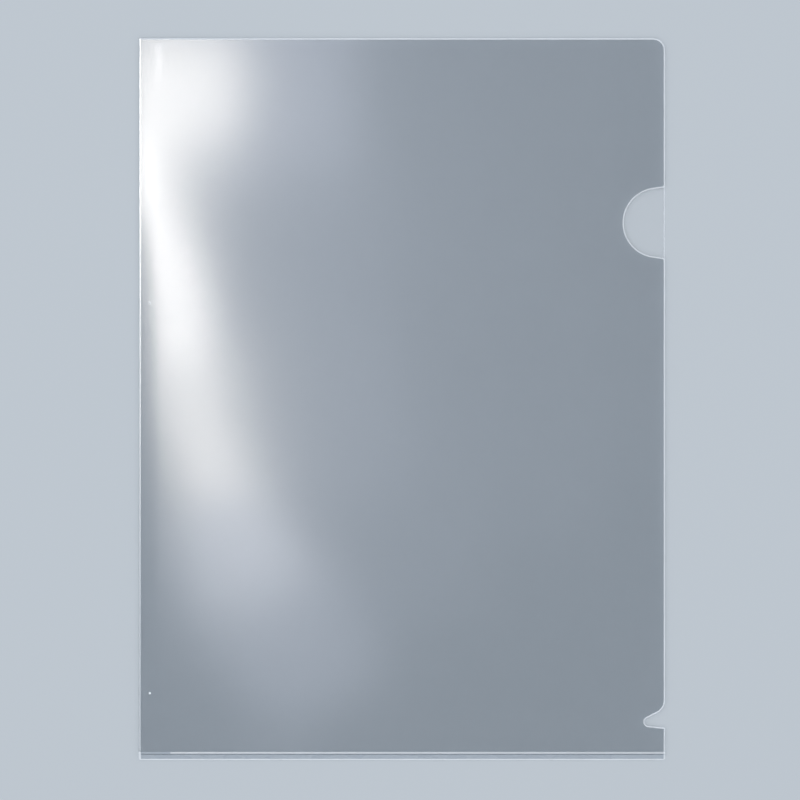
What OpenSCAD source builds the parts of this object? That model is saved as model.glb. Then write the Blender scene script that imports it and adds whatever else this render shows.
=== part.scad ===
// Clear L-shaped document folder, lying flat with its back leaf down.
// One polypropylene sheet is folded along the left side and welded along the bottom,
// so the top and the right side stay open. A thumb notch in the front leaf bares the back
// leaf, and a relief notch through both leaves keeps the end of the weld from tearing.
// The front leaf bends along the line from the top of the fold to the relief notch:
// what lies below that line is held by the fold and the weld, and the rest lifts as a flap.
// X runs from the fold to the open side, Y from the weld to the open top, Z up.

/* [Folder] */
// Width from the fold to the open side
folder_w = 226; // [180:1:320]
// Height from the welded edge to the open top
folder_h = 310; // [240:1:460]
// Thickness of the polypropylene sheet
sheet_t = 0.2; // [0.12:0.01:0.4]
// Clear height of the pocket between the leaves
pocket_gap = 0.4; // [0.2:0.05:1.5]
// Radius of the free corner at the top of the open side
top_corner_r = 5.2; // [2:0.1:12]
// Radius of the two corners at the ends of the weld
foot_corner_r = 1; // [0.4:0.1:1.8]

/* [Thumb notch] */
// Radius of the notch's arc
thumb_r = 14.6; // [9:0.1:20]
// Distance of the arc's centre in from the open side
thumb_inset = 3.1; // [0:0.1:6]
// Distance of the arc's centre below the top edge
thumb_drop = 79.2; // [45:0.1:120]
// Angle at which the mouth of the notch flares
thumb_flare = 8; // [0:1:20]
// Radius of the two corners at the mouth
thumb_mouth_r = 1.4; // [0.5:0.1:3]

/* [Relief notch] */
// Depth of the notch from the open side to its root
relief_depth = 8.8; // [5:0.1:16]
// Height of the root above the bottom edge
relief_rise = 16.5; // [12:0.1:40]
// Radius of the root
relief_root_r = 1.8; // [0.8:0.1:2.5]
// Slope of the upper flank
relief_upper_slope = 27; // [10:1:40]
// Slope of the lower flank
relief_lower_slope = 6; // [0:1:15]
// Radius at the upper corner of the mouth
relief_upper_r = 6; // [1:0.1:8]
// Radius at the lower corner of the mouth
relief_lower_r = 0.6; // [0.2:0.1:1.5]

/* [Bottom weld] */
// Height of the weld, from the bottom edge to the pocket
weld_h = 3.6; // [2.6:0.1:8]
// Thickness of the fused band
weld_t = 0.36; // [0.2:0.02:0.5]
// Width of the ridge along the pocket side of the weld
ridge_w = 0.9; // [0.5:0.1:1.2]
// Height of the melted bead on top of the ridge
bead_rise = 0.15; // [0.05:0.01:0.25]
// Distance from the fold to the start of the bead
bead_start = 13.6; // [4:0.1:40]
// Width of the groove between the ridge and the band
groove_w = 0.4; // [0.2:0.1:0.8]
// Depth of the groove
groove_d = 0.14; // [0.05:0.01:0.16]

/* [Bending line] */
// Distance from the fold to the line's upper end
bend_inset = 10; // [5:0.5:30]
// Clear width of the slit between the flap and the held part
bend_slit = 0.1; // [0.04:0.01:0.3]

/* [Crease pips] */
// Diameter of a pressed pip
pip_d = 1; // [0.6:0.1:2]
// Height of a pip above the front leaf
pip_rise = 0.12; // [0.05:0.01:0.2]
// Distance of the pips from the fold
pip_inset = 4.8; // [3:0.1:9]
// Height of the lower pip above the bottom edge
pip_low = 28.8; // [12:0.1:80]
// Height of the upper pip above the bottom edge
pip_high = 196.5; // [100:0.1:220]

/* [Hidden] */
$fn = 96;

// An arc has a point at least every so many degrees
arc_step = 4;

// A cut runs this far past the sheet
overcut = 2;

// A pip is too small for a true cone: it has this many sides, and narrows to this share at its top
pip_sides = 12;
pip_taper = 0.5;

// Edges of the folder, with its middle at the origin
left = -folder_w / 2;
right = folder_w / 2;
bottom = -folder_h / 2;
top = folder_h / 2;

// The front leaf's underside, and the height of both leaves with the pocket between them
front_z = sheet_t + pocket_gap;
stack_h = front_z + sheet_t;

// The fold is a half ring whose two ends meet the leaves
fold_outer_r = stack_h / 2;
fold_inner_r = pocket_gap / 2;
leaf_left = left + fold_outer_r;
leaf_bottom = bottom + weld_h;

// Centres of the thumb notch's arc and of the relief notch's root
thumb_centre = [right - thumb_inset, top - thumb_drop];
relief_centre = [right - relief_depth + relief_root_r, bottom + relief_rise];

// Ends of the bending line: at the top edge, and at the relief notch's root
bend_top = [left + bend_inset, top];
bend_foot = [right - relief_depth, relief_centre.y];
bend_across = (bend_foot.x - bend_top.x) / (bend_foot.y - bend_top.y);

// Colours of the sheet and of the parts that the heat has clouded
CLEAR = [0.80, 0.85, 0.90, 0.35];
HAZY = [0.60, 0.66, 0.73, 0.55];
CLOUDED = [0.86, 0.89, 0.92, 0.75];

// Radius of the arc over a chord, from the chord and the arc's rise
function arc_r(chord, rise) = (chord * chord / 4 + rise * rise) / (2 * rise);

// Points of the arc about c from one angle to another
function arc(c, r, from, to) =
    let (steps = ceil(abs(to - from) / arc_step))
    [for (i = [0 : steps]) let (a = from + (to - from) * i / steps) c + r * [cos(a), sin(a)]];

// Arc that rounds the corner at p, from the edge that runs along a to the edge that runs along b
function rounded(p, a, b, r) =
    let (half = acos(a * b) / 2,
         c = p + (a + b) / norm(a + b) * r / sin(half),
         start = p + a * r / tan(half) - c,
         from = atan2(start.y, start.x))
    arc(c, r, from, from - sign(cross(a, b)) * (180 - 2 * half));

// Height at x of the line that leaves a circle of radius r at this slope, both from its centre
function flank_y(r, slope, x) = r * cos(slope) + (x + r * sin(slope)) * tan(slope);

// Path of a notch in the open side, upwards: an arc whose two flanks run out to the edge, where
// they are rounded. Slopes and mouth radii are given for the upper flank, then the lower one.
function notch(centre, r, slopes, mouth_rs) =
    let (edge = right - centre.x)
    concat(rounded(centre + [edge, -flank_y(r, slopes[1], edge)], [0, -1],
                   [-cos(slopes[1]), sin(slopes[1])], mouth_rs[1]),
           arc(centre, r, 270 - slopes[1], 90 + slopes[0]),
           rounded(centre + [edge, flank_y(r, slopes[0], edge)],
                   [-cos(slopes[0]), -sin(slopes[0])], [0, 1], mouth_rs[0]));

// The two notches
function relief_notch() = notch(relief_centre, relief_root_r,
                                [relief_upper_slope, relief_lower_slope],
                                [relief_upper_r, relief_lower_r]);
function thumb_notch() = notch(thumb_centre, thumb_r, [thumb_flare, thumb_flare],
                               [thumb_mouth_r, thumb_mouth_r]);

// x of the bending line at height y, moved half the slit to one side
function bend_x(y, side) =
    bend_foot.x + (y - bend_foot.y) * bend_across
    + side * bend_slit / 2 * sqrt(1 + bend_across * bend_across);

// Outline of a leaf, from the fold and the weld to the open edges, with its notches from the
// bottom upwards
module leaf_outline(notches) {
    polygon(concat([[leaf_left, leaf_bottom], [right, leaf_bottom]],
                   [for (path = notches) each path],
                   rounded([right, top], [0, -1], [-1, 0], top_corner_r),
                   [[leaf_left, top]]));
}

// Sheet on the flap's side of the bending line
module flap_side() {
    far_x = right + overcut;
    far_y = top + overcut;
    polygon([[bend_x(far_y, 1), far_y], [bend_x(bend_foot.y, 1), bend_foot.y],
             [far_x, bend_foot.y], [far_x, far_y]]);
}

// Sheet on the held side of the bending line
module held_side() {
    far_y = top + overcut;
    polygon([[left - overcut, far_y], [bend_x(far_y, -1), far_y],
             [bend_x(bend_foot.y, -1), bend_foot.y], [right + overcut, bend_foot.y],
             [right + overcut, bottom - overcut], [left - overcut, bottom - overcut]]);
}

// Section of the weld without its bead: rounded lip, fused band, groove and ridge
module weld_section() {
    lip_r = weld_t / 2;
    ridge_at = weld_h - ridge_w;
    translate([lip_r, lip_r]) circle(r = lip_r);
    translate([lip_r, 0]) square([ridge_at - groove_w - lip_r, weld_t]);
    translate([lip_r, 0]) square([ridge_at - lip_r, weld_t - groove_d]);
    translate([ridge_at, 0]) square([ridge_w, stack_h]);
}

// Section of the bead, a low arc over the ridge
module bead_section() {
    r = arc_r(ridge_w, bead_rise);
    translate([weld_h - ridge_w / 2, stack_h]) intersection() {
        translate([0, bead_rise - r]) circle(r = r);
        translate([-ridge_w / 2, 0]) square([ridge_w, bead_rise]);
    }
}

// Carries a section in Y and Z along X, from one place to another
module along_weld(from, to) {
    translate([from, bottom, 0]) rotate([90, 0, 90]) linear_extrude(to - from) children();
}

// Back leaf, which lies on the table
module back_leaf() {
    color(CLEAR) linear_extrude(sheet_t) leaf_outline([relief_notch()]);
}

// Part of the front leaf that the fold and the weld hold down
module front_leaf_held() {
    color(HAZY) translate([0, 0, front_z]) linear_extrude(sheet_t) intersection() {
        leaf_outline([relief_notch(), thumb_notch()]);
        held_side();
    }
}

// Part of the front leaf that lifts, with the thumb notch in its free edge
module front_leaf_flap() {
    color(HAZY) translate([0, 0, front_z]) linear_extrude(sheet_t) intersection() {
        leaf_outline([relief_notch(), thumb_notch()]);
        flap_side();
    }
}

// Folded edge, a half ring that joins the two leaves
module spine_fold() {
    color(CLOUDED) translate([leaf_left, top, fold_outer_r]) rotate([90, 0, 0])
        linear_extrude(top - leaf_bottom) difference() {
            circle(r = fold_outer_r);
            circle(r = fold_inner_r);
            translate([0, -fold_outer_r - overcut])
                square([fold_outer_r + overcut, 2 * (fold_outer_r + overcut)]);
        }
}

// What is cut from a lower corner to round it; side is 1 at the open side, -1 at the fold
module foot_cut(side) {
    corner = [side * right, bottom];
    polygon(concat(rounded(corner, [0, 1], [-side, 0], foot_corner_r),
                   [corner + [-side * foot_corner_r, -overcut], corner + [side, -1] * overcut,
                    corner + [side * overcut, foot_corner_r]]));
}

// Fused strip along the bottom edge, with rounded ends and a bead on the pocket side
module bottom_weld() {
    color(CLOUDED) difference() {
        union() {
            along_weld(left, right) weld_section();
            along_weld(left + bead_start, right) bead_section();
        }
        translate([0, 0, -overcut]) linear_extrude(stack_h + bead_rise + 2 * overcut) {
            foot_cut(1);
            foot_cut(-1);
        }
    }
}

// Two low pips pressed beside the fold
module crease_pips() {
    color(CLOUDED) for (height = [pip_low, pip_high])
        translate([left + pip_inset, bottom + height, stack_h])
            cylinder(d1 = pip_d, d2 = pip_d * pip_taper, h = pip_rise, $fn = pip_sides);
}

back_leaf();
front_leaf_held();
front_leaf_flap();
spine_fold();
bottom_weld();
crease_pips();
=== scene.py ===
"""Looks of a clear L-shaped document folder, laid out as a Blender add-on.

The leaves, the fold, the weld and the pips are closed surfaces that numpy works out around the
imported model, in metres and in its frame: X runs from the fold to the open side, Y from the weld
to the open top, Z up from the table.
"""

import math

import bmesh
import bpy
import numpy as np
from bpy.props import FloatProperty, FloatVectorProperty, PointerProperty
from bpy.types import NodeSocket, Operator, Panel, PropertyGroup
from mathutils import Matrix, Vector


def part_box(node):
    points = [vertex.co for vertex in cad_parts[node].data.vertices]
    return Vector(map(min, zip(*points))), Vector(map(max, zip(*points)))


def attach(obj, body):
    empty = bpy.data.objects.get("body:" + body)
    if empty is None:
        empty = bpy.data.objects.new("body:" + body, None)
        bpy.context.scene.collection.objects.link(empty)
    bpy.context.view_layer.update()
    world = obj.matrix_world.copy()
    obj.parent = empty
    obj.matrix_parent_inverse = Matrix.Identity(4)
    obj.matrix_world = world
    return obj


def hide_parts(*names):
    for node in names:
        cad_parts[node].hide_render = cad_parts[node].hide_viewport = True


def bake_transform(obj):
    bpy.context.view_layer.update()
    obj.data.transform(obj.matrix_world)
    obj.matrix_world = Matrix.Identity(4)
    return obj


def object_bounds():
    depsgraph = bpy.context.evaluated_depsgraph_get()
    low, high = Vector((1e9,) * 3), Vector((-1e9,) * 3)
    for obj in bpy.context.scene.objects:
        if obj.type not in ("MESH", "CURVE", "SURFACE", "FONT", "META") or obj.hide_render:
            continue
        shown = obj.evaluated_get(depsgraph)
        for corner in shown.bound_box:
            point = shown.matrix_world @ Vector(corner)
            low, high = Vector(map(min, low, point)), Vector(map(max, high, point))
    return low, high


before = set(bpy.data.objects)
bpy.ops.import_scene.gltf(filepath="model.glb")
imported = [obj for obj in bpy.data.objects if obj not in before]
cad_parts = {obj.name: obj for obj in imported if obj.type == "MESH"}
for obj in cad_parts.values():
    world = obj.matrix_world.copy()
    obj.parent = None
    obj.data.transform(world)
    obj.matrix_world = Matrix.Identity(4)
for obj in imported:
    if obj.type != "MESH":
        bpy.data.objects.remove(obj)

bl_info = {
    "name": "Clear L-folder",
    "version": (1, 0, 0),
    "blender": (4, 5, 0),
    "location": "3D View > Sidebar > Folder",
    "description": "Builds the looks of a clear document folder around its packed model",
    "category": "Object",
}

MM = 0.001

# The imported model's box, and the places of its pieces
CAD_BOX = [list(corner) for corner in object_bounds()]
(LEFT, BOTTOM, TABLE_Z), (RIGHT, TOP, _) = CAD_BOX
BACK_LOW, BACK_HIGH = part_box("back_leaf")
FRONT_LOW, FRONT_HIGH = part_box("front_leaf_held")
PIPS_LOW, PIPS_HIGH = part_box("crease_pips")
LEAF_FOOT = FRONT_LOW.y
STACK_TOP = FRONT_HIGH.z

# Name of the attribute that holds how much painted highlight a film gets, from 0 to 1, and the white
# that paints it
PAINTED_GLINT = "stress"
PAINTED_GLINT_WHITE = "#FFFFFF"

# Noise textures lie mostly between these values
NOISE_LOW = 0.25
NOISE_HIGH = 0.75

# Spacing of the points on arcs, in degrees, on straight runs, across the leaves and beside the fold
ARC_STEP = 4
RUN_STEP = 4 * MM
COLUMN_STEP = 3.5 * MM
CREASE_STEP = 0.6 * MM

# Points on the flat and on the round of a cut edge's section, and columns on the bead's tip
EDGE_FLAT_POINTS = 4
EDGE_ROUND_POINTS = 9
BEAD_TIP_COLUMNS = 8

# Sides of a pip and rings of its dome
PIP_SIDES = 32
PIP_RINGS = 8

# Least spacing of a path's points, distance within which points of a mesh become one, and bend in
# degrees past which an edge stays sharp
NEXT_POINT = 0.02 * MM
SAME_PLACE = 0.001 * MM
SHARP_ANGLE = 40


def linear(hex_colour):
    """An sRGB hex colour as linear red, green and blue."""
    values = np.array([int(hex_colour[i:i + 2], 16) for i in (1, 3, 5)]) / 255
    return tuple(np.where(values <= 0.04045, values / 12.92, ((values + 0.055) / 1.055) ** 2.4))


def length(name, description, millimetres):
    """A length property, given in millimetres."""
    return FloatProperty(name=name, description=description, default=millimetres * MM,
                         unit="LENGTH", subtype="DISTANCE", precision=5)


def angle(name, description, degrees):
    """An angle property, given in degrees."""
    return FloatProperty(name=name, description=description, default=math.radians(degrees),
                         unit="ROTATION", subtype="ANGLE")


def colour(name, description, hex_colour):
    """A colour property, given as sRGB hex."""
    return FloatVectorProperty(name=name, description=description, default=linear(hex_colour),
                               subtype="COLOR", min=0, max=1)


def share(name, description, value):
    """A property from 0 to 1."""
    return FloatProperty(name=name, description=description, default=value, subtype="FACTOR",
                         min=0, max=1)


class FolderSizes(PropertyGroup):
    """Sizes of the folder's sheet, notches, fold and weld."""

    sheet_t: length("Sheet", "Thickness of the sheet", (BACK_HIGH.z - BACK_LOW.z) / MM)
    top_corner_r: length("Free corner", "Radius of the corner at the top of the open side", 5.2)
    foot_corner_r: length("Foot corners", "Radius of the corners at the weld's ends", 1)
    fold_corner_r: length("Fold corner", "Radius of the corner at the top of the fold", 0.7)
    edge_w: length("Cut edge", "Width of the whitened rim along a cut edge", 0.55)
    edge_round: length("Cut edge rounding", "Depth of the rounding on a cut edge", 0.08)
    burr: length("Burr", "Height of the burr along a cut edge", 0.015)

    thumb_r: length("Thumb notch", "Radius of the thumb notch's arc", 14.6)
    thumb_inset: length("Thumb inset", "Distance of the arc's centre from the open side", 3.1)
    thumb_drop: length("Thumb drop", "Distance of the arc's centre below the top edge", 79.2)
    thumb_flare: angle("Thumb flare", "Angle at which the notch's mouth flares", 8)
    thumb_mouth_r: length("Thumb mouth", "Radius of the corners at the notch's mouth", 1.4)

    relief_depth: length("Relief notch", "Depth of the relief notch from the open side", 8.8)
    relief_rise: length("Relief rise", "Height of the notch's root above the bottom edge", 16.5)
    relief_root_r: length("Relief root", "Radius of the notch's root", 1.8)
    relief_upper: angle("Relief upper flank", "Slope of the notch's upper flank", 27)
    relief_lower: angle("Relief lower flank", "Slope of the notch's lower flank", 6)
    relief_upper_r: length("Relief upper mouth", "Radius at the mouth's upper corner", 6)
    relief_lower_r: length("Relief lower mouth", "Radius at the mouth's lower corner", 0.6)

    fold_w: length("Fold", "Width of the whitened fold, seen from above", 0.9)
    spring_w: length("Spring width", "Width over which the front leaf springs up from the fold", 9)
    spring_rise: length("Spring", "Height to which the front leaf springs up", 0.054)
    crease_at: length("Crease", "Distance of the soft crease from the fold", 8.6)
    crease_w: length("Crease width", "Half the width of the crease", 3)
    crease_rise: length("Crease rise", "Height of the crease above the flat leaf", 0.008)
    crease_top: length("Crease top", "Length over which the crease fades in from the top edge", 4)
    crease_run: length("Crease run", "Length of the crease from the top edge down", 30)
    ripple: length("Ripple", "Height of the long ripples in the front leaf", 0.03)

    band_t: length("Weld band", "Thickness of the fused band", 0.36)
    ridge_w: length("Ridge", "Width of the ridge along the weld's pocket side", 0.9)
    bead_rise: length("Bead", "Height of the melted bead on the ridge", 0.15)
    bead_start: length("Bead start", "Distance from the fold to the bead's start", 13.6)
    groove_w: length("Groove", "Width of the groove between ridge and band", 0.4)
    groove_d: length("Groove depth", "Depth of that groove", 0.14)


class FolderFinish(PropertyGroup):
    """Colours and clearness of the folder's sheet."""

    front_colour: colour("Front leaf", "Tint of the matt front leaf", "#74828F")
    front_alpha: share("Front haze", "How much of the light the front leaf's matt face stops", 0.48)
    back_colour: colour("Back leaf", "Tint of the clear back leaf", "#8A939C")
    back_alpha: share("Back haze", "How much of the light one face of the back leaf stops", 0.025)
    edge_colour: colour("Cut edge", "Colour of the whitened cut edges", "#F2F6FA")
    edge_alpha: share("Cut edge haze", "How much of the light one face of a matt leaf's cut edge "
                      "stops", 0.42)
    clear_edge_alpha: share("Clear cut edge haze", "How much of the light one face of the clear "
                            "leaf's cut edge stops", 0.35)
    fold_colour: colour("Fold", "Colour of the whitened fold", "#EEF3F8")
    fold_alpha: share("Fold haze", "How much of the light one face of the fold stops", 0.3)
    weld_colour: colour("Weld", "Colour of the clouded weld", "#B4BEC8")
    weld_alpha: share("Weld haze", "How much of the light the weld's upper face stops", 0.5)
    bead_colour: colour("Bead", "Colour of the melted bead", "#EEF2F6")
    bead_alpha: share("Bead haze", "How much of the light the bead's upper face stops", 0.5)
    lip_alpha: share("Lip haze", "How much of the light the weld's sheared lip stops", 0.7)
    pip_alpha: share("Pip haze", "How much of the light one face of a pip stops", 0.95)
    # The groove's darker grey is painted shade, a dark line between the clouded strips
    groove_shade_colour: colour("Groove", "Colour of the weld's groove", "#6E7C8A")
    groove_alpha: share("Groove haze", "How much of the light the groove's upper face stops", 0.45)


class FolderStage(PropertyGroup):
    """Camera, floor, lamps and the light from all round."""

    view_w: length("View", "Width of what the camera sees at the folder", 343.7)
    view_x: length("View centre X", "Where the middle of the view lies along X", -0.8)
    view_y: length("View centre Y", "Where the middle of the view lies along Y", -0.3)
    lens: FloatProperty(name="Lens", description="Focal length of the camera in millimetres",
                        default=135, subtype="DISTANCE_CAMERA")
    floor_reach: length("Floor reach", "Half the side of the square floor", 12000)
    floor_colour: colour("Floor colour", "Colour of the plain floor", "#BFC4C8")
    sky_colour: colour("Sky colour", "Colour of the light from all round", "#F4F9FF")
    sky_level: share("Sky level", "Strength of the light from all round", 1)
    lamp_h: length("Glare lamps", "Height of the lamps that the sheet mirrors", 1200)


def unit(vectors):
    """The vectors, each divided by its length."""
    return vectors / np.linalg.norm(vectors, axis=-1, keepdims=True)


def smooth_step(values):
    """0 up to 0, 1 from 1, and 3 v^2 - 2 v^3 between."""
    v = np.clip(values, 0, 1)
    return v * v * (3 - 2 * v)


def bell(distance, half_width):
    """A cosine bell: 1 in the middle, 0 from half_width on."""
    return 0.5 + 0.5 * np.cos(np.pi * np.clip(distance / half_width, -1, 1))


def arc(centre, radius, start, stop):
    """Points of an arc: centre + radius (cos a, sin a), with a from start to stop in radians."""
    count = math.ceil(abs(stop - start) / math.radians(ARC_STEP)) + 1
    a = np.linspace(start, stop, count)
    return np.asarray(centre) + radius * np.stack([np.cos(a), np.sin(a)], axis=-1)


def rounded(corner, back, ahead, radius):
    """Arc that rounds a corner, from the edge that runs along back to the one along ahead: its
    centre lies on their bisector, radius / sin(half the angle between them) from the corner."""
    corner, back, ahead = (np.array(v, float) for v in (corner, back, ahead))
    half = math.acos(back @ ahead) / 2
    centre = corner + unit(back + ahead) * radius / math.sin(half)
    first = corner + back * radius / math.tan(half) - centre
    start = math.atan2(first[1], first[0])
    side = np.sign(back[0] * ahead[1] - back[1] * ahead[0])
    return arc(centre, radius, start, start - side * (math.pi - 2 * half))


def notch(centre, radius, slopes, mouth_rs):
    """Path of a notch in the open side, upwards: a round root whose two flanks run out to the
    edge, where they are rounded. Slopes and mouth radii are the upper flank's, then the lower's.
    A flank leaves the root where the root has its slope, so at the edge it is
    r cos(slope) + (x + r sin(slope)) tan(slope) from the centre's height."""
    upper, lower = slopes
    out = RIGHT - centre[0]
    at_edge = [radius * math.cos(s) + (out + radius * math.sin(s)) * math.tan(s) for s in slopes]
    return np.concatenate([
        rounded((RIGHT, centre[1] - at_edge[1]), (0, -1),
                (-math.cos(lower), math.sin(lower)), mouth_rs[1]),
        arc(centre, radius, 1.5 * math.pi - lower, 0.5 * math.pi + upper),
        rounded((RIGHT, centre[1] + at_edge[0]), (-math.cos(upper), -math.sin(upper)),
                (0, 1), mouth_rs[0]),
    ])


def relief_notch(sizes):
    """Path of the relief notch, through both leaves."""
    centre = (RIGHT - sizes.relief_depth + sizes.relief_root_r, BOTTOM + sizes.relief_rise)
    return notch(centre, sizes.relief_root_r, (sizes.relief_upper, sizes.relief_lower),
                 (sizes.relief_upper_r, sizes.relief_lower_r))


def thumb_notch(sizes):
    """Path of the thumb notch, in the front leaf alone."""
    centre = (RIGHT - sizes.thumb_inset, TOP - sizes.thumb_drop)
    return notch(centre, sizes.thumb_r, (sizes.thumb_flare,) * 2, (sizes.thumb_mouth_r,) * 2)


def refined(path):
    """The path with more points on its straight runs: its own, and one every RUN_STEP along it."""
    run = np.append(0, np.cumsum(np.linalg.norm(np.diff(path, axis=0), axis=1)))
    at = np.union1d(run, np.arange(0, run[-1], RUN_STEP))
    at = at[np.diff(at, append=np.inf) > NEXT_POINT]
    return np.stack([np.interp(at, run, values) for values in path.T], axis=-1)


def open_side(sizes, notches):
    """Path up the open side of a leaf, from the weld to the far end of the free corner."""
    corner = rounded((RIGHT, TOP), (0, -1), (-1, 0), sizes.top_corner_r)
    return refined(np.concatenate([[(RIGHT, LEAF_FOOT)], *notches, corner]))


def left_normals(path):
    """Unit normals to the left of a path, square to the mean direction of its two runs."""
    runs = unit(np.diff(path, axis=0))
    along = unit(np.concatenate([runs[:1], runs[:-1] + runs[1:], runs[-1:]]))
    return np.stack([-along[:, 1], along[:, 0]], axis=-1)


def cut_edge_section(sizes):
    """Section of a cut edge, from the leaf's upper face round to its lower face, as distance in
    from the edge and height: a low burr on the upper face, a cosine bell, and then half an
    ellipse, edge_round (1 - cos a) deep and sheet_t / 2 sin a high."""
    flat = np.linspace(1, 0, EDGE_FLAT_POINTS, endpoint=False)
    flat_inset = sizes.edge_round + flat * (sizes.edge_w - sizes.edge_round)
    burr = sizes.burr * bell(flat - 0.5, 0.5)
    a = np.linspace(0.5 * np.pi, -0.5 * np.pi, EDGE_ROUND_POINTS)
    inset = sizes.edge_round * (1 - np.cos(a))
    height = sizes.sheet_t / 2 * (1 + np.sin(a))
    return (np.concatenate([flat_inset, inset, flat_inset[::-1]]),
            np.concatenate([sizes.sheet_t + burr, height, 0 * burr]))


def leaf_surface(sizes, side, floor_z, rise):
    """Grids and end faces of a leaf that runs from the fold to the path of its open side.
    Both faces are ruled: each row runs straight from the fold to the rim's inner border, at the
    border's own y, with close columns beside the fold and even ones beyond it. The rim is the cut
    edge's section, carried up the open side and along the top. Everything is lifted by rise(x, y).
    The films are the upper face's, the rim's, and one for the underside, fold wall and weld wall."""
    inward = left_normals(np.vstack([side, side[-1] - (RUN_STEP, 0)]))[:-1]
    border = side + inward * sizes.edge_w
    start = LEFT + sizes.fold_w
    crease_end = LEFT + sizes.crease_at + sizes.crease_w
    near = np.arange(start, crease_end, CREASE_STEP)
    across = np.linspace(0, 1, math.ceil((RIGHT - crease_end) / COLUMN_STEP))
    far = crease_end + (border[:, :1] - crease_end) * across
    x = np.hstack([np.tile(near, (len(border), 1)), far])
    y = np.tile(border[:, 1:], (1, x.shape[1]))
    lower = np.stack([x, y, floor_z + rise(x, y)], axis=-1)
    upper = lower + (0, 0, sizes.sheet_t)

    top_x = x[-1, -2::-1]
    edge = np.vstack([side, np.stack([top_x, np.full_like(top_x, TOP)], axis=-1)])
    inward = np.vstack([inward, np.tile((0, -1), (len(top_x), 1))])
    inset, height = cut_edge_section(sizes)
    rim = edge[:, None] + inward[:, None] * inset[:, None]
    rim_z = floor_z + rise(rim[..., 0], rim[..., 1]) + height
    rim = np.concatenate([rim, rim_z[..., None]], axis=-1)

    fold_wall = np.stack([lower[:, 0], upper[:, 0]], axis=1)
    weld_wall = np.stack([lower[0], upper[0]])
    face, cut, under = range(3)
    grids = [(upper, face), (rim, cut), (lower[:, ::-1], under), (fold_wall, under),
             (weld_wall, under)]
    ends = [(rim[0, ::-1], cut), (rim[-1], cut)]
    return grids, ends


def crease_share(sizes, x, y):
    """How strongly the front leaf is creased beside the top of the fold, from 0 to 1: a cosine bell
    across the crease, which fades out at the top edge and further down."""
    down = TOP - y
    across = bell(x - LEFT - sizes.crease_at, sizes.crease_w)
    return across * smooth_step(down / sizes.crease_top) * smooth_step(1 - down / sizes.crease_run)


def front_rise(sizes):
    """Lift of the front leaf from flat, as a function of x and y. It springs up from the fold along
    half a parabola, 1 - (1 - u)^2. Two long sine ripples run over it, one up the leaf and one across
    it, both on a slant, and fade out at the fold. All that fades out at the weld. Beside the top of
    the fold lies a soft crease."""
    fade = 40 * MM
    wave_up, slant_up = 95 * MM, 0.4
    wave_across, slant_across = 140 * MM, -0.5

    def rise(x, y):
        from_fold = x - LEFT - sizes.fold_w
        spring = 1 - (1 - np.clip(from_fold / sizes.spring_w, 0, 1)) ** 2
        ripples = (np.sin(2 * np.pi * (y + slant_up * x) / wave_up)
                   + np.sin(2 * np.pi * (x + slant_across * y) / wave_across))
        sprung = (sizes.spring_rise * spring
                  + sizes.ripple * ripples * smooth_step(from_fold / fade))
        above_weld = smooth_step((y - LEAF_FOOT) / fade)
        return sprung * above_weld + sizes.crease_rise * crease_share(sizes, x, y)

    return rise


def no_rise(x, y):
    """A leaf that lies flat."""
    return np.zeros_like(x)


def fold_surface(sizes):
    """Grid of the fold and its end faces: a U section carried up the fold. Its outside is half a
    circle over the whole stack, its inside half a circle over the pocket, and its legs reach to
    both leaves. Its top end is rounded in plan, a quarter of a circle in x and y."""
    middle = (LEFT + STACK_TOP / 2, STACK_TOP / 2)
    leg_end = LEFT + sizes.fold_w
    outside = arc(middle, STACK_TOP / 2, 0.5 * math.pi, 1.5 * math.pi)
    inside = arc(middle, STACK_TOP / 2 - sizes.sheet_t, 1.5 * math.pi, 0.5 * math.pi)
    legs = np.array([(leg_end, TABLE_Z), (leg_end, sizes.sheet_t),
                     (leg_end, STACK_TOP - sizes.sheet_t), (leg_end, STACK_TOP)])
    section = np.concatenate([outside, legs[:2], inside, legs[2:]])
    ring = np.vstack([section, section[:1]])
    corner_r = sizes.fold_corner_r
    short = np.clip(corner_r - (ring[:, 0] - LEFT), 0, corner_r)
    end_y = TOP - corner_r + np.sqrt(corner_r ** 2 - short ** 2)
    up = np.linspace(0, 1, math.ceil((TOP - LEAF_FOOT) / RUN_STEP))[:, None]
    y = LEAF_FOOT + up * (end_y - LEAF_FOOT)
    x, z = (np.tile(values, (len(up), 1)) for values in ring.T)
    grid = np.stack([x, y, z], axis=-1)
    return [(grid, 0)], [(grid[0, :-1], 0), (grid[-1, -2::-1], 0)]


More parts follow.
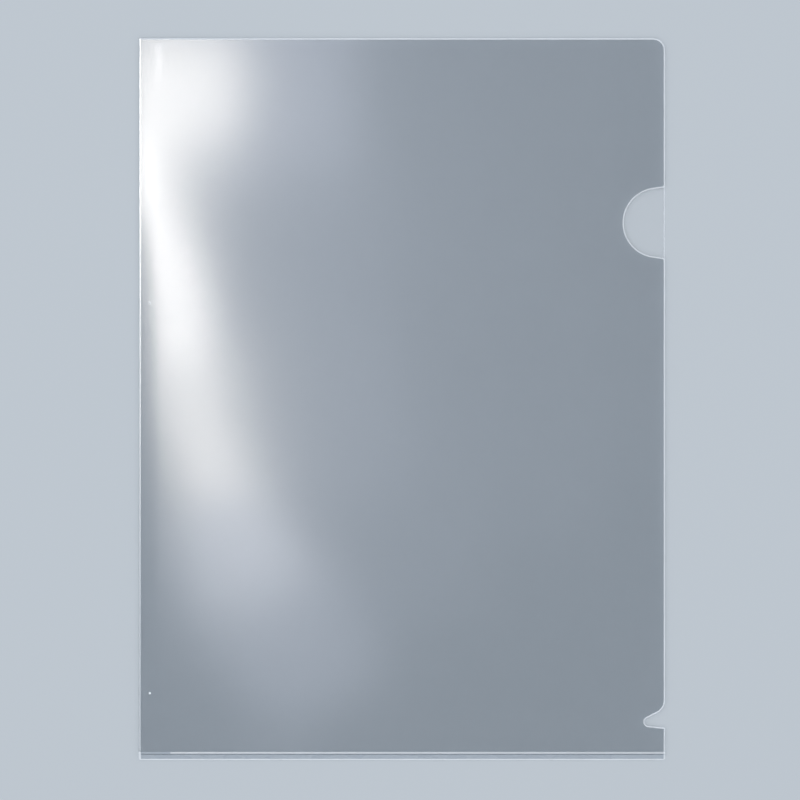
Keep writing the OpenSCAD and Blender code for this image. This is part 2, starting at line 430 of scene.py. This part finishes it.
def weld_surface(sizes):
    """Grids of the weld: its upper face, its flat underside and the walls between.
    With v the distance from the bottom edge, the upper face is as high as the band, less a bell
    for the groove, plus a smooth step up to the ridge and, from the bead's start on, half an
    ellipse for the bead. At the bottom edge it falls to the table along a quarter of an ellipse.
    The plan's lower corners are rounded by drawing each row's ends in. The films are those of the
    fused band, the bead, the sheared lip and ends, the groove, whose darker grey is painted shade,
    and the clear underside and wall."""
    depth = LEAF_FOOT - BOTTOM
    ridge_at = depth - sizes.ridge_w
    groove_at = ridge_at - sizes.groove_w
    lip = sizes.band_t / 2
    shoulder = 0.1 * MM
    bead_taper = 1.2 * MM
    stops = (0, lip, sizes.edge_w, groove_at, ridge_at, depth)
    rows_between = (8, 3, 8, 12, 24)
    v = np.concatenate([np.linspace(low, high, rows, endpoint=False)
                        for low, high, rows in zip(stops, stops[1:], rows_between)] + [[depth]])
    v = v[:, None]
    wide = RIGHT - LEFT
    bead_from = sizes.bead_start / wide
    fold_to, edge_from = sizes.fold_w / wide, 1 - sizes.edge_w / wide
    bead_tip = bead_from + np.linspace(0, bead_taper / wide, BEAD_TIP_COLUMNS)
    along = np.union1d(np.linspace(0, 1, math.ceil(wide / RUN_STEP)),
                       np.concatenate([bead_tip, [fold_to, edge_from]]))

    corner = np.clip(sizes.foot_corner_r - v, 0, None)
    drawn_in = sizes.foot_corner_r - np.sqrt(sizes.foot_corner_r ** 2 - corner ** 2)
    x = LEFT + drawn_in + (wide - 2 * drawn_in) * along
    rounding = np.sqrt(1 - np.clip(1 - v / lip, 0, 1) ** 2)
    groove = sizes.groove_d * bell(v - ridge_at + sizes.groove_w / 2, sizes.groove_w / 2)
    step = (STACK_TOP - sizes.band_t) * smooth_step((v - ridge_at) / shoulder)
    across_bead = np.clip((v - ridge_at) / sizes.ridge_w * 2 - 1, -1, 1)
    bead = sizes.bead_rise * np.sqrt(1 - across_bead ** 2)
    started = smooth_step((x - LEFT - sizes.bead_start) / bead_taper)
    z = TABLE_Z + rounding * (sizes.band_t - groove) + step + bead * started
    y = np.tile(BOTTOM + v, (1, len(along)))
    upper = np.stack([x, y, z], axis=-1)
    lower = upper * (1, 1, 0) + (0, 0, TABLE_Z)

    _, edge_row, groove_row, ridge_row, _ = np.cumsum(rows_between)
    fold_column, bead_column, edge_column = np.searchsorted(along, (fold_to, bead_from, edge_from))
    fold_end = np.stack([lower[:, 0], upper[:, 0]], axis=1)
    open_end = np.stack([upper[:, -1], lower[:, -1]], axis=1)
    pocket_wall = np.stack([upper[-1], lower[-1]])
    # The groove's pinched film carries painted shade
    fused, bead_part, cut, pinched, clear = range(5)
    flat = upper[:, fold_column:edge_column + 1]
    before_bead = bead_column - fold_column
    return [(upper[:, :fold_column + 1], cut), (upper[:, edge_column:], cut),
            (flat[:edge_row + 1], cut), (flat[edge_row:groove_row + 1], fused),
            (flat[groove_row:ridge_row + 1], pinched),
            (flat[ridge_row:, :before_bead + 1], fused),
            (flat[ridge_row:, before_bead:], bead_part), (lower[:, ::-1], clear),
            (fold_end, cut), (open_end, cut), (pocket_wall, clear)]


def pip_surface(centre, radius, rise, sink):
    """Grids of a pip about centre: a dome, rise (1 - rho^2) high at rho of its radius, over a
    wall and a flat underside that is sunk into the leaf."""
    around = np.linspace(0, 2 * np.pi, PIP_SIDES + 1)
    rho = np.linspace(1, 0, PIP_RINGS + 1)[:, None]
    x = centre[0] + radius * rho * np.cos(around)
    y = centre[1] + radius * rho * np.sin(around)
    dome = np.stack([x, y, centre[2] + rise * (1 - rho ** 2) + 0 * x], axis=-1)
    underside = np.stack([x, y, centre[2] - sink + 0 * x], axis=-1)
    wall = np.stack([underside[0], dome[0]])
    return [(dome, 0), (underside[:, ::-1], 0), (wall, 0)]


def grid_quads(rows, columns, first):
    """Quads of a grid of points that are numbered row by row from first."""
    i = first + np.arange(rows * columns).reshape(rows, columns)
    return np.stack([i[:-1, :-1], i[:-1, 1:], i[1:, 1:], i[1:, :-1]], axis=-1).reshape(-1, 4)


def closed_piece(name, grids, ends, materials):
    """Joins grids of points and end faces, each with its material's number, into one closed mesh:
    points in the same place become one, and faces are turned outwards."""
    points = np.concatenate([g.reshape(-1, 3) for g, _ in grids] + [e for e, _ in ends])
    faces, numbers, first = [], [], 0
    for grid, number in grids:
        quads = grid_quads(*grid.shape[:2], first).tolist()
        faces += quads
        numbers += [number] * len(quads)
        first += grid.shape[0] * grid.shape[1]
    for end, number in ends:
        faces.append(list(range(first, first + len(end))))
        numbers.append(number)
        first += len(end)
    mesh = bpy.data.meshes.new(name)
    mesh.from_pydata(points, [], faces)
    mesh.polygons.foreach_set("material_index", numbers)
    mesh.polygons.foreach_set("use_smooth", [True] * len(faces))
    shell = bmesh.new()
    shell.from_mesh(mesh)
    bmesh.ops.remove_doubles(shell, verts=shell.verts, dist=SAME_PLACE)
    bmesh.ops.recalc_face_normals(shell, faces=shell.faces)
    if any(not edge.is_manifold for edge in shell.edges):
        raise RuntimeError(f"{name} isn't closed")
    shell.to_mesh(mesh)
    shell.free()
    mesh.set_sharp_from_angle(angle=math.radians(SHARP_ANGLE))
    for material in materials:
        mesh.materials.append(material)
    piece = bpy.data.objects.new(name, mesh)
    bpy.context.scene.collection.objects.link(piece)
    return piece


def mark_painted_glint(piece, share_at):
    """Gives each point of a piece its share of painted highlight, from its x and y."""
    points = np.empty((len(piece.data.vertices), 3), np.float32)
    piece.data.vertices.foreach_get("co", points.ravel())
    shares = share_at(points[:, 0], points[:, 1])
    attribute = piece.data.attributes.new(PAINTED_GLINT, "FLOAT", "POINT")
    attribute.data.foreach_set("value", shares.astype(np.float32))


def add_node(tree, kind, inputs=(), **settings):
    """Adds a node with its settings. inputs pairs a socket's name or number with a value or with
    the socket that it is linked from."""
    made = tree.nodes.new(kind)
    for name, value in settings.items():
        setattr(made, name, value)
    for socket, value in dict(inputs).items():
        if isinstance(value, NodeSocket):
            tree.links.new(value, made.inputs[socket])
        else:
            made.inputs[socket].default_value = value
    return made


def plastic(name, tint, haze, ior, roughness, cloud, shading, grain, depth, glint_paint=0):
    """A film of polypropylene. Clouds shade its tint and its gloss, and a fine grain bumps it.
    haze is the share of the light that the film stops. It scales the gloss too, so where it is small
    the IOR is set above the 1.49 of polypropylene. roughness runs between two values with the
    clouds. cloud is their size along X, Y and Z, grain the grain's size and depth its depth, all in
    millimetres, and shading is how much the clouds shade the tint. Where the piece's own attribute
    for painted highlight is 1, the tint is mixed with white by the share that the last argument
    gives; that white is a painted highlight."""
    material = bpy.data.materials.get(name) or bpy.data.materials.new(name)
    material.use_nodes = True
    tree = material.node_tree
    tree.nodes.clear()
    place = add_node(tree, "ShaderNodeTexCoord").outputs["Object"]
    stretched = add_node(tree, "ShaderNodeMapping",
                         {"Vector": place, "Scale": [1 / (size * MM) for size in cloud]})
    clouds = add_node(tree, "ShaderNodeTexNoise",
                      {"Vector": stretched.outputs["Vector"], "Scale": 1, "Detail": 4})
    shade = add_node(tree, "ShaderNodeMapRange",
                     {"Value": clouds.outputs["Fac"], "From Min": NOISE_LOW,
                      "From Max": NOISE_HIGH, "To Min": 1 - shading, "To Max": 1 + shading})
    tinted = add_node(tree, "ShaderNodeHueSaturation",
                      {"Color": (*tint, 1), "Value": shade.outputs["Result"]}).outputs["Color"]
    # Painted highlight: where the piece's attribute is 1, the tint is mixed with white
    if glint_paint:
        stress = add_node(tree, "ShaderNodeAttribute", attribute_name=PAINTED_GLINT)
        glint_share = add_node(tree, "ShaderNodeMath", {0: stress.outputs["Fac"], 1: glint_paint},
                            operation="MULTIPLY")
        tinted = add_node(tree, "ShaderNodeMixRGB",
                          {"Fac": glint_share.outputs["Value"], "Color1": tinted,
                           "Color2": (*linear(PAINTED_GLINT_WHITE), 1)}).outputs["Color"]
    matt = add_node(tree, "ShaderNodeMapRange",
                    {"Value": clouds.outputs["Fac"], "From Min": NOISE_LOW,
                     "From Max": NOISE_HIGH, "To Min": roughness[0], "To Max": roughness[1]})
    grains = add_node(tree, "ShaderNodeTexNoise",
                      {"Vector": place, "Scale": 1 / (grain * MM), "Detail": 2})
    bump = add_node(tree, "ShaderNodeBump",
                    {"Height": grains.outputs["Fac"], "Strength": 1, "Distance": depth * MM})
    shader = add_node(tree, "ShaderNodeBsdfPrincipled",
                      {"Base Color": tinted, "Roughness": matt.outputs["Result"],
                       "IOR": ior, "Alpha": haze, "Normal": bump.outputs["Normal"]})
    add_node(tree, "ShaderNodeOutputMaterial", {"Surface": shader.outputs["BSDF"]})
    return material


def matt_film(finish):
    """Extruded polypropylene film, embossed matt: a cool grey haze with a wide, soft sheen. The
    front leaf's whole haze is on this face, and the IOR gives it the gloss of all four faces of the
    two leaves. The emboss is about 0.1 mm, too fine to show, so its grain is drawn coarser. Beside
    the top of the fold its tint is mixed with white, a painted highlight along the crease."""
    return plastic("matt embossed polypropylene film", finish.front_colour, finish.front_alpha,
                   ior=3.4, roughness=(0.118, 0.126), cloud=(50, 90, 50), shading=0.03,
                   grain=0.9, depth=0.0001, glint_paint=0.5)


def gloss_film(finish):
    """Extruded polypropylene film, left smooth: almost clear, with faint lines along its run."""
    return plastic("clear smooth polypropylene film", finish.back_colour, finish.back_alpha,
                   ior=4, roughness=(0.16, 0.24), cloud=(4, 120, 50), shading=0.05,
                   grain=3, depth=0.0004)


def cut_edge(finish):
    """Die-cut edge of the matt film: whitened where the knife crushed it, so it catches the light
    as a thin pale line."""
    return plastic("die-cut matt polypropylene edge", finish.edge_colour, finish.edge_alpha,
                   ior=2, roughness=(0.3, 0.45), cloud=(6, 6, 6), shading=0.06,
                   grain=0.8, depth=0.001)


def clear_cut_edge(finish):
    """Die-cut edge of the smooth film: less whitened, a dim line where the thumb notch bares it."""
    return plastic("die-cut clear polypropylene edge", finish.edge_colour, finish.clear_edge_alpha,
                   ior=1.9, roughness=(0.2, 0.3), cloud=(6, 6, 6), shading=0.06,
                   grain=0.8, depth=0.001)


def creased_film(finish):
    """Heat-creased polypropylene: whitened a little by stress and glossy, so that the rounded edge
    shows as a bright line."""
    return plastic("heat-creased polypropylene", finish.fold_colour, finish.fold_alpha,
                   ior=5, roughness=(0.12, 0.16), cloud=(20, 5, 20), shading=0.05,
                   grain=1.2, depth=0.0004)


def fused_film(finish):
    """Heat-welded polypropylene: clouded where the two leaves melted into one band."""
    return plastic("heat-welded polypropylene", finish.weld_colour, finish.weld_alpha,
                   ior=1.8, roughness=(0.22, 0.34), cloud=(12, 4, 10), shading=0.05,
                   grain=1.4, depth=0.002)


def melted_bead(finish):
    """Melted polypropylene, squeezed out of the weld: a pale glossy bead."""
    return plastic("melted polypropylene bead", finish.bead_colour, finish.bead_alpha,
                   ior=2, roughness=(0.14, 0.24), cloud=(8, 8, 8), shading=0.05,
                   grain=1.6, depth=0.002)


def sheared_lip(finish):
    """Sheared polypropylene: the weld's outer lip and its ends, cut while hot, so almost white."""
    return plastic("sheared polypropylene lip", finish.edge_colour, finish.lip_alpha,
                   ior=2, roughness=(0.25, 0.35), cloud=(8, 8, 8), shading=0.05,
                   grain=1.2, depth=0.001)


def pressed_spot(finish):
    """Polypropylene that a pin pressed white: a small, bright, almost opaque spot."""
    return plastic("pin-pressed polypropylene", finish.edge_colour, finish.pip_alpha,
                   ior=1.5, roughness=(0.25, 0.35), cloud=(0.4, 0.4, 0.4), shading=0.05,
                   grain=0.2, depth=0.001)


def shaded_groove_film(finish):
    """Pinched polypropylene, pressed thin in the weld's groove. Its darker grey is painted shade,
    which makes a dark line between the clouded strips beside it."""
    return plastic("shade-painted pinched polypropylene", finish.groove_shade_colour, finish.groove_alpha,
                   ior=1.5, roughness=(0.2, 0.3), cloud=(12, 4, 10), shading=0.05,
                   grain=1.4, depth=0.001)


class FOLDER_OT_back_leaf(Operator):
    """Builds the back leaf, which lies flat on the table"""

    bl_idname = "folder.back_leaf"
    bl_label = "Back leaf"

    def execute(self, context):
        sizes, finish = context.scene.folder_sizes, context.scene.folder_finish
        side = open_side(sizes, [relief_notch(sizes)])
        grids, ends = leaf_surface(sizes, side, BACK_LOW.z, no_rise)
        clear = gloss_film(finish)
        piece = closed_piece("clear_back_leaf", grids, ends,
                             [clear, clear_cut_edge(finish), clear])
        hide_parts("back_leaf")
        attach(piece, "sleeve")
        return {"FINISHED"}


class FOLDER_OT_front_leaf(Operator):
    """Builds the front leaf as one sheet, in place of the held part and the lifting flap"""

    bl_idname = "folder.front_leaf"
    bl_label = "Front leaf"

    def execute(self, context):
        sizes, finish = context.scene.folder_sizes, context.scene.folder_finish
        side = open_side(sizes, [relief_notch(sizes), thumb_notch(sizes)])
        grids, ends = leaf_surface(sizes, side, FRONT_LOW.z, front_rise(sizes))
        piece = closed_piece("matt_front_leaf", grids, ends,
                             [matt_film(finish), cut_edge(finish), gloss_film(finish)])
        # The crease's share also says where the painted highlight goes
        mark_painted_glint(piece, lambda x, y: crease_share(sizes, x, y))
        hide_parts("front_leaf_held", "front_leaf_flap")
        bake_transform(piece)
        return {"FINISHED"}


class FOLDER_OT_spine_fold(Operator):
    """Builds the folded edge that joins the leaves"""

    bl_idname = "folder.spine_fold"
    bl_label = "Spine fold"

    def execute(self, context):
        sizes, finish = context.scene.folder_sizes, context.scene.folder_finish
        grids, ends = fold_surface(sizes)
        piece = closed_piece("creased_fold", grids, ends, [creased_film(finish)])
        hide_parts("spine_fold")
        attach(piece, "sleeve")
        return {"FINISHED"}


class FOLDER_OT_bottom_weld(Operator):
    """Builds the fused strip along the bottom edge, with its groove and its bead"""

    bl_idname = "folder.bottom_weld"
    bl_label = "Bottom weld"

    def execute(self, context):
        sizes, finish = context.scene.folder_sizes, context.scene.folder_finish
        films = [fused_film(finish), melted_bead(finish), sheared_lip(finish),
                 shaded_groove_film(finish), gloss_film(finish)]
        piece = closed_piece("fused_weld", weld_surface(sizes), [], films)
        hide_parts("bottom_weld")
        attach(piece, "sleeve")
        return {"FINISHED"}


class FOLDER_OT_crease_pips(Operator):
    """Builds the two pips that are pressed into the front leaf beside the fold"""

    bl_idname = "folder.crease_pips"
    bl_label = "Crease pips"

    def execute(self, context):
        sizes, finish = context.scene.folder_sizes, context.scene.folder_finish
        radius = (PIPS_HIGH.x - PIPS_LOW.x) / 2
        rise = PIPS_HIGH.z - PIPS_LOW.z
        x = PIPS_LOW.x + radius
        grids = []
        for y in (PIPS_LOW.y + radius, PIPS_HIGH.y - radius):
            z = STACK_TOP + float(front_rise(sizes)(np.array(x), np.array(y)))
            grids += pip_surface((x, y, z), radius, rise, sizes.sheet_t / 2)
        piece = closed_piece("pressed_pips", grids, [], [pressed_spot(finish)])
        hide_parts("crease_pips")
        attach(piece, "sleeve")
        return {"FINISHED"}


def camera_height(stage):
    """Height from which the lens sees view_w across a 36 mm sensor, the camera's default."""
    sensor = 36
    return stage.view_w * stage.lens / sensor


def lamp_reach(stage):
    """How many times as far from the view's centre as its mirror image a lamp at lamp_h hangs:
    (D + h) / D, with D the camera's height."""
    return 1 + stage.lamp_h / camera_height(stage)


def mirrored_place(stage, x, y):
    """Where a lamp at lamp_h hangs so that the sheet mirrors it to the camera at x, y."""
    reach = lamp_reach(stage)
    return (stage.view_x + (x - stage.view_x) * reach,
            stage.view_y + (y - stage.view_y) * reach)


def add_lamp(name, place, size, watts, turn):
    """A rectangular lamp of that size in X and Y, which shines along its own -Z."""
    lamp = bpy.data.lights.new(name, "AREA")
    lamp.shape = "RECTANGLE"
    lamp.size, lamp.size_y = size
    lamp.energy = watts
    holder = bpy.data.objects.new(name, lamp)
    holder.location = place
    holder.rotation_euler = turn
    bpy.context.scene.collection.objects.link(holder)
    return lamp


def add_softbox(name, place, size, watts):
    """A soft lamp that is turned to the folder's middle."""
    turn = (-Vector(place)).to_track_quat("-Z", "Y").to_euler()
    add_lamp(name, place, size, watts, turn)


def add_glare(stage, name, start, stop, width, level, hex_colour):
    """A strip lamp that the sheet mirrors to the camera from start to stop, width wide there.
    It sends out pi times its area times its brightness, level, in watts."""
    first, last = (np.array(mirrored_place(stage, *point)) for point in (start, stop))
    run = last - first
    size = (width * lamp_reach(stage), np.linalg.norm(run))
    turn = (0, 0, math.atan2(run[1], run[0]) - 0.5 * math.pi)
    lamp = add_lamp(name, (*(first + last) / 2, stage.lamp_h), size,
                    math.pi * size[0] * size[1] * level, turn)
    lamp.color = linear(hex_colour)


def add_floor(stage):
    """A plain pale floor, just under the back leaf."""
    half = stage.floor_reach
    below = -0.1 * MM
    mesh = bpy.data.meshes.new("floor")
    mesh.from_pydata([(-half, -half, below), (half, -half, below), (half, half, below),
                      (-half, half, below)], [], [(0, 1, 2, 3)])
    board = bpy.data.materials.new("matt painted board")
    board.use_nodes = True
    board.node_tree.nodes.clear()
    shader = add_node(board.node_tree, "ShaderNodeBsdfDiffuse",
                      {"Color": (*stage.floor_colour, 1)})
    add_node(board.node_tree, "ShaderNodeOutputMaterial", {"Surface": shader.outputs["BSDF"]})
    mesh.materials.append(board)
    floor = bpy.data.objects.new("floor", mesh)
    bpy.context.scene.collection.objects.link(floor)


def add_sky(stage):
    """Soft light from all round. The camera, gloss and clear plastic see a backdrop as bright as the
    floor is in that light, so the floor shows no horizon."""
    lit_floor = [tint * light for tint, light in zip(stage.floor_colour, stage.sky_colour)]
    sky = bpy.data.worlds.new("soft light")
    sky.use_nodes = True
    tree = sky.node_tree
    tree.nodes.clear()
    light = add_node(tree, "ShaderNodeBackground",
                     {"Color": (*stage.sky_colour, 1), "Strength": stage.sky_level})
    backdrop = add_node(tree, "ShaderNodeBackground",
                        {"Color": (*lit_floor, 1), "Strength": stage.sky_level})
    path = add_node(tree, "ShaderNodeLightPath").outputs
    seen = path["Is Camera Ray"]
    for kind in ("Is Glossy Ray", "Is Transmission Ray"):
        seen = add_node(tree, "ShaderNodeMath", {0: seen, 1: path[kind]},
                        operation="MAXIMUM").outputs["Value"]
    both = add_node(tree, "ShaderNodeMixShader",
                    {0: seen, 1: light.outputs["Background"], 2: backdrop.outputs["Background"]})
    add_node(tree, "ShaderNodeOutputWorld", {"Surface": both.outputs["Shader"]})
    bpy.context.scene.world = sky


def add_camera(stage):
    """A camera that looks straight down, with the folder's top edge up."""
    camera = bpy.data.cameras.new("camera")
    camera.lens = stage.lens
    holder = bpy.data.objects.new("camera", camera)
    holder.location = (stage.view_x, stage.view_y, camera_height(stage))
    bpy.context.scene.collection.objects.link(holder)
    bpy.context.scene.camera = holder


# Soft lamps: name, place and size in metres, and watts
SOFTBOXES = (
    ("key", (-1.70, 0.80, 1.04), (1.2, 0.3), 1.6),
    ("fill", (1.82, -0.91, 0.77), (1.2, 0.3), 1.1),
)

# Colours of the lamps that the sheet mirrors: a warm white in the core of the glare, cooler
# towards its fringes
CORE_COLOUR = "#FFFAF5"
MIDDLE_COLOUR = "#F6F6FF"
FRINGE_COLOUR = "#EAEDFF"

# What the sheet mirrors: a wide glare at the top of the fold, below it a ridge of light that bends
# away from the fold as it widens and fades, a faint glow beside them, and over that three fainter
# veils, each wider and shorter than the last, so that the light fades step by step. Each has a
# name, its two ends and its width in metres on the folder, its brightness, where a white in full
# light has 1, and its colour.
GLARES = (
    ("glare_head", (-0.103, 0.161), (-0.107, 0.110), 0.065, 5.7, CORE_COLOUR),
    ("glare_neck", (-0.118, 0.116), (-0.115, 0.080), 0.038, 7.7, CORE_COLOUR),
    ("glare_ridge", (-0.109, 0.080), (-0.094, 0.017), 0.018, 11, CORE_COLOUR),
    ("glare_waist", (-0.095, 0.017), (-0.077, -0.043), 0.036, 4.7, CORE_COLOUR),
    ("glare_sweep", (-0.080, -0.043), (-0.060, -0.086), 0.044, 2.5, MIDDLE_COLOUR),
    ("glare_tail", (-0.059, -0.086), (-0.029, -0.134), 0.060, 0.85, FRINGE_COLOUR),
    ("glare_shoulder", (-0.054, 0.185), (-0.052, 0.095), 0.070, 1.25, FRINGE_COLOUR),
    ("glare_glow", (-0.047, 0.095), (-0.042, -0.040), 0.085, 0.56, FRINGE_COLOUR),
    ("veil_near", (-0.025, 0.185), (-0.025, -0.095), 0.130, 0.24, FRINGE_COLOUR),
    ("veil_middle", (-0.005, 0.185), (-0.005, -0.060), 0.190, 0.17, FRINGE_COLOUR),
    ("veil_far", (0.020, 0.185), (0.020, -0.020), 0.250, 0.09, FRINGE_COLOUR),
)


class FOLDER_OT_stage(Operator):
    """Sets the floor, the lamps, the light from all round and the camera"""

    bl_idname = "folder.stage"
    bl_label = "Stage"

    def execute(self, context):
        stage = context.scene.folder_stage
        context.scene.view_settings.view_transform = "Standard"
        add_floor(stage)
        add_sky(stage)
        add_camera(stage)
        for softbox in SOFTBOXES:
            add_softbox(*softbox)
        for glare in GLARES:
            add_glare(stage, *glare)
        return {"FINISHED"}


class FOLDER_PT_build(Panel):
    """Lists the folder's pieces, sizes and finishes in the sidebar"""

    bl_idname = "FOLDER_PT_build"
    bl_label = "Clear L-folder"
    bl_space_type = "VIEW_3D"
    bl_region_type = "UI"
    bl_category = "Folder"

    def draw(self, context):
        for operator in OPERATORS:
            self.layout.operator(operator.bl_idname)
        for group in GROUPS:
            for name in GROUPS[group].__annotations__:
                self.layout.prop(getattr(context.scene, group), name)


GROUPS = {"folder_sizes": FolderSizes, "folder_finish": FolderFinish, "folder_stage": FolderStage}
OPERATORS = (FOLDER_OT_stage, FOLDER_OT_back_leaf, FOLDER_OT_front_leaf, FOLDER_OT_spine_fold,
             FOLDER_OT_bottom_weld, FOLDER_OT_crease_pips)
CLASSES = (*GROUPS.values(), *OPERATORS, FOLDER_PT_build)


def register():
    """Registers the classes and hangs their settings on the scene."""
    for cls in CLASSES:
        bpy.utils.register_class(cls)
    for name, group in GROUPS.items():
        setattr(bpy.types.Scene, name, PointerProperty(type=group))


def unregister():
    """Takes the settings and the classes away again."""
    for name in GROUPS:
        delattr(bpy.types.Scene, name)
    for cls in reversed(CLASSES):
        bpy.utils.unregister_class(cls)


def main():
    """Builds the stage and the folder."""
    register()
    bpy.ops.folder.stage()
    bpy.ops.folder.back_leaf()
    bpy.ops.folder.front_leaf()
    bpy.ops.folder.spine_fold()
    bpy.ops.folder.bottom_weld()
    bpy.ops.folder.crease_pips()


if __name__ == "__main__":
    main()
